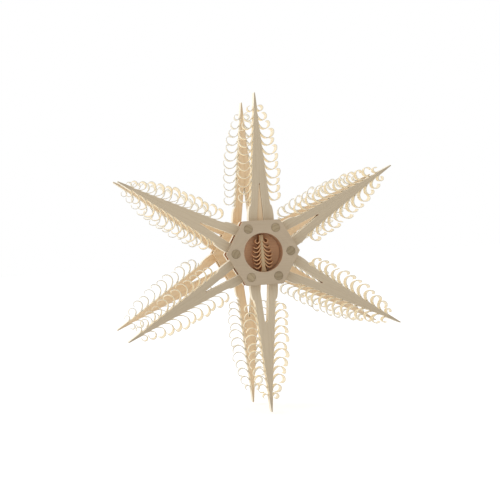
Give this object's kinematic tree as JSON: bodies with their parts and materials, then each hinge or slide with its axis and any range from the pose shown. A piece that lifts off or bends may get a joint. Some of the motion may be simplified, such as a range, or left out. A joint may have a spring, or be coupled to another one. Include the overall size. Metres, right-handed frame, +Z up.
{
  "type": "wood shaving star ornament",
  "caption": "Double star of pale wooden points with rows of curled shavings along their edges, pegged between hexagonal plates, with a small shaved tree in a round window.",
  "frame": {"origin": "centre of the rear cover's back face", "axes": "-Y points out of the front face towards the viewer, +Z up along the top points, +X to the viewer's right"},
  "size_m": [0.1322, 0.054, 0.15],
  "materials": {
    "front_wood": "bare pale softwood, planed and sanded, faint straight grain",
    "rear_wood": "bare softwood in a warmer tone, planed and sanded, faint straight grain",
    "peg_wood": "bare round dowel, end grain showing",
    "tree_wood": "bare pale softwood, knife cut",
    "core_wood": "bare wood, turned smooth"
  },
  "bodies": {
    "root": {"front_cover": "front_wood", "front_inner_plate": "front_wood", "core_block": "core_wood", "rear_inner_plate": "rear_wood", "rear_cover": "rear_wood", "shaving_tree": "tree_wood", "slot_wedge": "rear_wood", "front_point_top": "front_wood", "front_point_upper_left": "front_wood", "front_point_lower_left": "front_wood", "front_point_bottom": "front_wood", "front_point_lower_right": "front_wood", "front_point_upper_right": "front_wood", "rear_point_top": "rear_wood", "rear_point_upper_left": "rear_wood", "rear_point_lower_left": "rear_wood", "rear_point_bottom": "rear_wood", "rear_point_lower_right": "rear_wood", "rear_point_upper_right": "rear_wood", "front_peg_top": "peg_wood", "front_peg_upper_left": "peg_wood", "front_peg_lower_left": "peg_wood", "front_peg_bottom": "peg_wood", "front_peg_lower_right": "peg_wood", "front_peg_upper_right": "peg_wood", "rear_peg_top": "peg_wood", "rear_peg_upper_left": "peg_wood", "rear_peg_lower_left": "peg_wood", "rear_peg_bottom": "peg_wood", "rear_peg_lower_right": "peg_wood", "rear_peg_upper_right": "peg_wood"}
  },
  "joints": []
}
